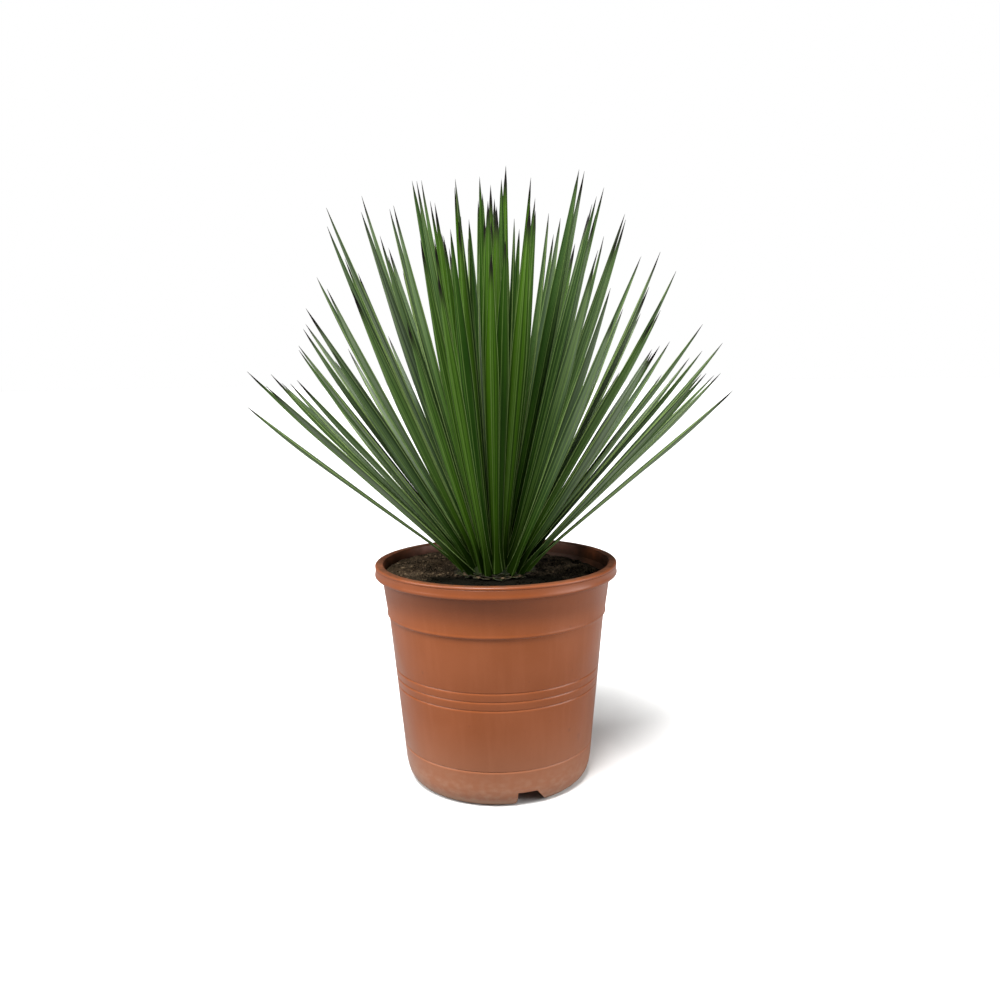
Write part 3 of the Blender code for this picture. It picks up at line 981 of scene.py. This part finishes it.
def dryBaseSource():
    # A short strip, narrowed to a torn end, cupped and given the thickness of a dry leaf
    strip = gridStrip("dryBase", 4, 6)
    startEdit(strip)
    for row in range(7):
        share = row / 6
        width = 1.0 - 0.25 * share - 0.55 * smoothStep((share - 0.6) / 0.4)
        pick(strip, lambda v, level=share: abs(v.co.y - level) < 0.01)
        bpy.ops.transform.resize(value=(width, 1.0, 1.0), center_override=(0.0, share, 0.0))
    for column, drop in dryShape["cup"]:
        pick(strip, lambda v, side=column: abs(v.co.x - side) < 0.09 and v.co.y < 0.7)
        bpy.ops.transform.translate(value=(0.0, 0.0, -drop))
    endEdit()
    strip.data.transform(Matrix.Diagonal((dryShape["width"], dryShape["length"], dryShape["width"], 1.0)))
    strip.modifiers.new("thickness", "SOLIDIFY").thickness = dryShape["thickness"]
    applyModifiers(strip)
    smoothBy(strip, 45)
    giveMaterials(strip, dryLeafBase)
    return strip


def buildCollar():
    # The ring of packed old bases that the loose ones stand on
    shape = dryShape
    bottom, top = shape["collarBottom"], shape["collarTop"]
    inner, outer = shape["collarInner"], shape["collarRadius"]
    profile = [(inner, bottom), (outer - 0.001, bottom), (outer, (top + bottom) / 2), (outer - 0.001, top)]
    collar = drawRing("collar", profile + [(inner, top), (inner, bottom)], shape["collarSides"])
    bpy.ops.mesh.select_all(action="SELECT")
    bpy.ops.mesh.remove_doubles(threshold=0.00002)
    bpy.ops.mesh.normals_make_consistent(inside=False)
    endEdit()
    smoothBy(collar, 35)
    giveMaterials(collar, dryLeafBase, woodyStem)
    for face in collar.data.polygons:
        face.material_index = 1
    return collar


def buildDryBases():
    shape = dryShape
    middle = (shape["collarTop"] + shape["collarBottom"]) / 2
    sources = [buildCollar(), dryBaseSource()]
    draw = random.Random(shape["seed"])
    spread, roll = shape["turnSpread"], shape["rollSpread"]
    places, tones = [(0, Matrix.Identity(4))], [0.2]
    for row in range(shape["rows"]):
        for index in range(shape["count"]):
            turn = math.tau * (index + row / shape["rows"] + draw.uniform(-spread, spread)) / shape["count"]
            rise = math.radians(draw.uniform(*shape["rise"]) + shape["rowRise"] * row)
            start = (shape["collarRadius"] - 0.0045 - 0.0012 * row, 0.0, middle + 0.0002 + 0.0005 * row)
            size = draw.uniform(*shape["lengthShares"]) * (1.0 - 0.12 * row)
            place = Matrix.Rotation(turn, 4, "Z") @ Matrix.Translation(start)
            place = place @ Matrix.Rotation(-rise, 4, "Y") @ Matrix.Rotation(-math.pi / 2, 4, "Z")
            place = place @ Matrix.Rotation(math.radians(draw.uniform(-roll, roll)), 4, "Y")
            places.append((1, place @ Matrix.Diagonal((draw.uniform(*shape["widthShares"]), size, 1.0, 1.0))))
            tones.append(draw.random())
    bases, counts = scatterCopies("oldLeafBases", sources, places)
    paintTone(bases, counts, tones, "dryTone")
    for source in sources:
        removeSource(source)
    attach(bases, "root")
    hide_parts("old_leaf_bases")
    return bases


oldLeafBases = buildDryBases()
print("old leaf bases built:", len(oldLeafBases.data.polygons), "faces")


# The living rosette: a crown of packed bases and twelve groups of leaves, youngest first

leafShape = {
    "seeds": (96769, 78049, 43488, 48212, 37971, 95741, 7107, 26690, 42427, 69024, 35324, 47006),
    "count": 144,
    "lengthInner": 0.3530,
    "lengthOuter": 0.2762,
    "longestLean": 19.1,
    "shortestLean": 39.3,
    "turnSpread": 10.9,
    "leanSpread": 2.9,
    "rollSpread": 18.0,
    "lift": 0.45,
    "oldestLean": 44.0,
    "oldestLonger": 0.08,
    "lengthShares": (0.885, 1.032),
    "widthShares": (0.80, 1.10),
    "sag": (-0.004, 0.012),
    "width": 0.0114,
    "thickness": 0.0010,
    "thinnest": 0.25,
    "channel": 0.0027,
    "foldPower": 1.10,
    "clasp": 1.1,
    "claspTo": 0.16,
    "rollIn": 1.1,
    "rollInFrom": 0.55,
    "foldAngle": 22.0,
    "outermost": 50.5,
    "agePower": 1.50,
    "rootRadius": 0.0294,
    "rootHeight": 0.2098,
    "rootRise": 0.0195,
    "rows": 24,
    "columns": 6,
    "modelLength": 0.350,
    "looksSeed": 5,
    "twist": 7.0,
    "wander": 0.004,
    "outline": (
        (0.0, 1.05), (0.04, 0.82), (0.09, 0.64), (0.14, 0.63), (0.22, 0.68), (0.34, 0.79), (0.46, 0.91),
        (0.56, 0.99), (0.62, 0.99), (0.70, 0.88), (0.82, 0.57), (0.90, 0.36), (0.955, 0.21), (1.0, 0.0),
    ),
}
crownShape = {
    "bottom": 0.2075,
    "radius": 0.0330,
    "height": 0.0250,
    "sides": 96,
    "hollow": ((0.001, 0.2240), (0.0075, 0.2240), (0.0145, 0.2180)),  # where the tip of the stem sits
    "hollowRadius": 0.0225,
}


def outlineAt(share):
    stations = leafShape["outline"]
    for (low, narrow), (high, wide) in zip(stations, stations[1:]):
        if share <= high:
            return narrow + (wide - narrow) * (share - low) / (high - low)
    return stations[-1][1]


def bladeSource():
    # A flat strip, each row narrowed to the leaf's outline, folded down along its midrib
    shape = leafShape
    rows, length, width = shape["rows"], shape["modelLength"], shape["width"]
    near = 0.2 / rows
    blade = gridStrip("blade", shape["columns"], rows)
    startEdit(blade)
    for row in range(rows):
        share = row / rows
        pick(blade, lambda v, level=share: abs(v.co.y - level) < near)
        bpy.ops.transform.resize(value=(outlineAt(share), 1.0, 1.0), center_override=(0.0, share, 0.0))
    pick(blade, lambda v: v.co.y > 1.0 - near)
    bpy.ops.mesh.merge(type="CENTER")
    endEdit()
    for vertex in blade.data.vertices:
        # the fold is deeper at the clasping base and where the point rolls in
        share = vertex.co.y
        half = max(1e-4, outlineAt(share)) / 2
        hollow = 1.0 - min(1.0, abs(vertex.co.x) / half) ** shape["foldPower"]
        deeper = 1.0 + shape["clasp"] * smoothStep((shape["claspTo"] - share) / shape["claspTo"])
        deeper += shape["rollIn"] * smoothStep((share - shape["rollInFrom"]) / 0.35)
        vertex.co.z = -shape["channel"] / width * hollow * deeper * min(1.0, 2.0 * half)
    blade.data.transform(Matrix.Diagonal((width, length, width, 1.0)))
    slim = blade.vertex_groups.new(name="slim")
    for vertex in blade.data.vertices:
        slim.add([vertex.index], min(1.0, outlineAt(vertex.co.y / length)), "REPLACE")
    solid = blade.modifiers.new("thickness", "SOLIDIFY")
    adjust(solid, thickness=shape["thickness"], offset=-1.0, material_offset=1, material_offset_rim=2)
    adjust(solid, vertex_group="slim", thickness_vertex_group=shape["thinnest"])
    giveMaterials(blade, leafUpper, leafLower, leafMargin)
    applyModifiers(blade)
    smoothBy(blade, shape["foldAngle"])
    return blade


def leafPlan():
    # The same golden-angle rule as the solids: one seed for each group of leaves of one age
    shape = leafShape
    draws = [random.Random(seed) for seed in shape["seeds"]]
    goldenAngle = math.pi * (3.0 - math.sqrt(5.0))
    flattest = math.radians(shape["outermost"])
    turnSpread, leanSpread, roll = shape["turnSpread"], shape["leanSpread"], shape["rollSpread"]
    plan = []
    for index in range(shape["count"]):
        group = index * len(draws) // shape["count"]
        draw = draws[group]
        age = (index + 0.5) / shape["count"]
        lean = math.acos(1.0 - age ** shape["agePower"] * (1.0 - math.cos(flattest)))
        turn = index * goldenAngle + math.radians(draw.uniform(-turnSpread, turnSpread))
        root = lean / flattest * math.pi / 2
        lean = max(0.0, lean + math.radians(draw.uniform(-leanSpread, leanSpread)))
        lean *= 1.0 - shape["lift"] * abs(math.sin(turn)) ** 4
        outward = Vector((math.cos(turn), math.sin(turn), 0))
        base = outward * (shape["rootRadius"] * math.sin(root))
        base.z = shape["rootHeight"] + shape["rootRise"] * math.cos(root)
        along = outward * math.sin(lean) + Vector((0, 0, math.cos(lean)))
        across = Vector((-math.sin(turn), math.cos(turn), 0))
        across.rotate(Matrix.Rotation(math.radians(draw.uniform(-roll, roll)), 3, along))
        drop = (math.degrees(lean) - shape["longestLean"]) / (shape["shortestLean"] - shape["longestLean"])
        oldest = smoothStep((math.degrees(lean) - shape["oldestLean"]) / 8.0)
        length = shape["lengthInner"] + smoothStep(drop) * (shape["lengthOuter"] - shape["lengthInner"])
        length *= draw.uniform(*shape["lengthShares"]) + shape["oldestLonger"] * oldest
        width = shape["width"] * draw.uniform(*shape["widthShares"])
        plan.append((group, base, along, across, length, width, draw.uniform(*shape["sag"])))
    return plan


def bladePlace(base, along, across, length, width, sag, twist, wander):
    # Sets a point of the modelled blade onto one leaf: its line, bow, twist and sideways wander
    shape = leafShape
    upward = along.cross(across).normalized()

    def place(point):
        share = point.y / shape["modelLength"]
        bow = 4.0 * share * (1.0 - share)
        turned = Matrix.Rotation(twist * share, 3, along)
        side = (turned @ across) * (point.x * width / shape["width"] + wander * length * bow)
        lift = (turned @ upward) * point.z - upward * (sag * length * bow)
        return base + along * (length * share) + side + lift

    return place


def crownCore():
    shape = crownShape
    bottom, radius, height = shape["bottom"], shape["radius"], shape["height"]
    profile = [*shape["hollow"], (shape["hollowRadius"], bottom), (radius - 0.0025, bottom)]
    for step in range(9):
        turn = math.radians(88.0 * step / 8)
        profile.append((radius * math.cos(turn), bottom + 0.0015 + height * math.sin(turn) ** 1.2))
    core = lathe("rosetteCrown", profile, shape["sides"])
    smoothBy(core, 40)
    giveMaterials(core, crownBases)
    return core


def buildRosette():
    shape = leafShape
    blade = bladeSource()
    plan = leafPlan()
    pieces = [crownCore()]
    looks = random.Random(shape["looksSeed"])
    for group in range(len(shape["seeds"])):
        places, tones = [], []
        for leaf in (leaf for leaf in plan if leaf[0] == group):
            twist = math.radians(looks.uniform(-shape["twist"], shape["twist"]))
            places.append((0, bladePlace(*leaf[1:], twist, looks.uniform(-shape["wander"], shape["wander"]))))
            tones.append(looks.random())
        leaves, counts = scatterCopies(f"leaves_{group + 1:02d}", [blade], places)
        paintTone(leaves, counts, tones, "leafTone")
        pieces.append(leaves)
    removeSource(blade)
    for piece in pieces:
        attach(piece, "root")
        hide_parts("leaf_rosette")
    return pieces


rosette = buildRosette()
print("rosette built:", sum(len(piece.data.polygons) for piece in rosette), "faces")


# Floor, light and camera

stageLook = {
    "floorRadius": 30.0,
    "floorSides": 96,
    "floor": (0.80, 0.80, 0.795),
    "floorWorn": (0.77, 0.77, 0.765),
    "floorBounce": (0.28, 0.28, 0.278),
    "surround": 0.10,
    "backdrop": 1.0,
    "sun": 6.6,
    "sunSoftness": 26.0,
    "sunFrom": (-0.42, -0.95, 2.68),
    "panels": {"sideLeft": (40.0, (-1.7, -0.55, 1.20)), "sideRight": (31.0, (1.7, -0.55, 0.72))},
    "panelSize": 1.2,
    "lightsAimAt": (0.0, 0.0, 0.2),
}
photoCamera = {
    "place": (0.005, -0.8819, 0.4029),
    "pitch": -8.075,
    "roll": -0.8012,
    "lens": 32.4,
    "sensor": 36.0,
}


def buildFloor():
    size = {"vertices": stageLook["floorSides"], "radius": stageLook["floorRadius"]}
    clearSelection()
    bpy.ops.mesh.primitive_circle_add(fill_type="NGON", **size)
    floor = named("studioFloor")
    material, tree = newMaterial("paleFloor")
    worn = patches(tree, coordinates(tree, "Object"), 3.0, 3.0)
    colour = layered(tree, stageLook, "floor", (worn, "floorWorn", 0.5))
    # pale to the camera, but it throws back less light, so that the pot keeps its shading
    seen = addNode(tree, "ShaderNodeLightPath").outputs["Is Camera Ray"]
    colour = mixColour(tree, seen, stageLook["floorBounce"], colour)
    giveMaterials(floor, dress(material, colour, 0.9))
    return floor


def buildWorld():
    # White to the camera, dimmer as a light, so that the object keeps its shading
    world = bpy.data.worlds.new("studio")
    bpy.context.scene.world = world
    world.use_nodes = True
    tree = world.node_tree
    seen = addNode(tree, "ShaderNodeLightPath").outputs["Is Camera Ray"]
    level = ramp(tree, seen, 0.0, 1.0, stageLook["surround"], stageLook["backdrop"])
    feedAll(tree, tree.nodes["Background"], {"Color": (1.0, 1.0, 1.0, 1.0), "Strength": level})


def addLamp(label, kind, power, place):
    light = adjust(bpy.data.lights.new(label, kind), energy=power)
    lamp = adjust(bpy.data.objects.new(label, light), location=place)
    aim = Vector(stageLook["lightsAimAt"]) - lamp.location
    lamp.rotation_euler = aim.to_track_quat("-Z", "Y").to_euler()
    bpy.context.scene.collection.objects.link(lamp)
    return light


def buildLights():
    sun = addLamp("softOverhead", "SUN", stageLook["sun"], stageLook["sunFrom"])
    sun.angle = math.radians(stageLook["sunSoftness"])
    for label, (power, place) in stageLook["panels"].items():
        addLamp(label, "AREA", power, place).size = stageLook["panelSize"]


def buildCamera():
    look = photoCamera
    camera = adjust(bpy.data.cameras.new("photoCamera"), lens=look["lens"], sensor_width=look["sensor"])
    cameraObject = bpy.data.objects.new("photoCamera", camera)
    pitch = Matrix.Rotation(math.radians(90.0 + look["pitch"]), 4, "X")
    roll = Matrix.Rotation(math.radians(look["roll"]), 4, "Z")
    cameraObject.matrix_world = Matrix.Translation(look["place"]) @ pitch @ roll
    bpy.context.scene.collection.objects.link(cameraObject)
    bpy.context.scene.camera = cameraObject


buildFloor()
buildWorld()
buildLights()
buildCamera()
bpy.context.scene.view_settings.view_transform = "Standard"
print("stage, lights and camera ready")
